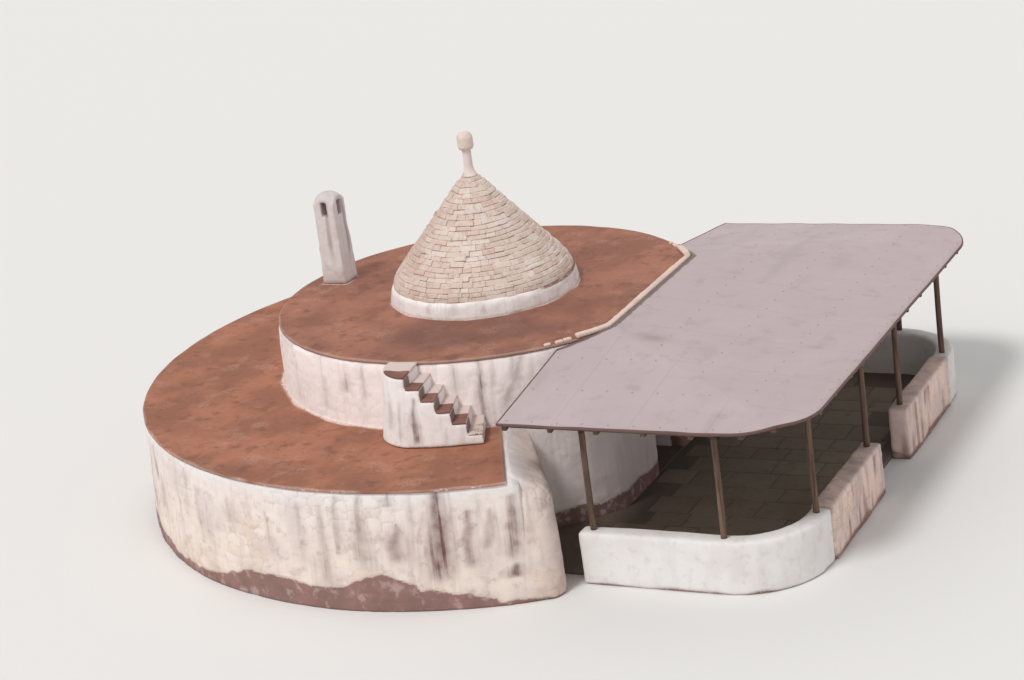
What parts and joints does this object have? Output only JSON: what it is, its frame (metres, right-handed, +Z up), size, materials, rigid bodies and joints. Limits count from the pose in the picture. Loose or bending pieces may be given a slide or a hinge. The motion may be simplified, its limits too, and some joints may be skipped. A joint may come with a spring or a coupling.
{
  "type": "two-tier trullo house with a porch",
  "caption": "Round limewashed stone house with a wide lower tier, a roof terrace with a stone cone and chimney, an outside stair and a porch under a thin hipped canopy.",
  "frame": {"origin": "on the axis of the cone, at ground level, on the underside of the room floor", "axes": "+Z up, +X out through the entrance towards the porch, -Y towards the front of the porch and the outside stair"},
  "size_m": [11.4798, 10.56, 5.02],
  "materials": {
    "limewashed_rubble": "rough limewash with dark run marks",
    "wall_stone": "rough limewashed rubble",
    "white_plaster": "matte hand-trowelled lime plaster",
    "terracotta_coat": "matte weathered red coat",
    "cone_limestone": "rough dry limestone",
    "dressed_stone": "worn limestone",
    "canopy_sheet": "matte, weathered",
    "canopy_timber": "weathered"
  },
  "bodies": {
    "root": {"tier_front_right": "limewashed_rubble", "tier_front": "limewashed_rubble", "tier_left": "limewashed_rubble", "tier_back": "limewashed_rubble", "tier_back_right": "limewashed_rubble", "tier_end_front": "limewashed_rubble", "tier_end_back": "limewashed_rubble", "parapet_side_front": "limewashed_rubble", "parapet_side_back": "limewashed_rubble", "room_wall_front_right": "wall_stone", "room_wall_front": "wall_stone", "room_wall_left": "wall_stone", "room_wall_back": "wall_stone", "room_wall_back_right": "wall_stone", "vault_front_right": "wall_stone", "vault_front": "wall_stone", "vault_left": "wall_stone", "vault_back": "wall_stone", "vault_back_right": "wall_stone", "entrance_wall_front": "wall_stone", "entrance_wall_back": "wall_stone", "entrance_wall_top": "wall_stone", "stair_base": "white_plaster", "terrace_kerb": "white_plaster", "cone_foot": "white_plaster", "pinnacle_neck": "white_plaster", "finial": "white_plaster", "chimney_shaft": "white_plaster", "chimney_head": "white_plaster", "chimney_cap": "white_plaster", "parapet_front": "white_plaster", "parapet_back": "white_plaster", "ledge_floor": "terracotta_coat", "stair_treads": "terracotta_coat", "terrace_floor": "terracotta_coat", "cone_lower_courses": "cone_limestone", "cone_upper_courses": "cone_limestone", "room_floor": "dressed_stone", "door_lintel": "dressed_stone", "porch_floor": "dressed_stone", "canopy_sheet": "canopy_sheet", "canopy_rafters": "canopy_timber", "canopy_beams": "canopy_timber", "wall_plate": "canopy_timber", "canopy_posts": "canopy_timber"}
  },
  "joints": []
}
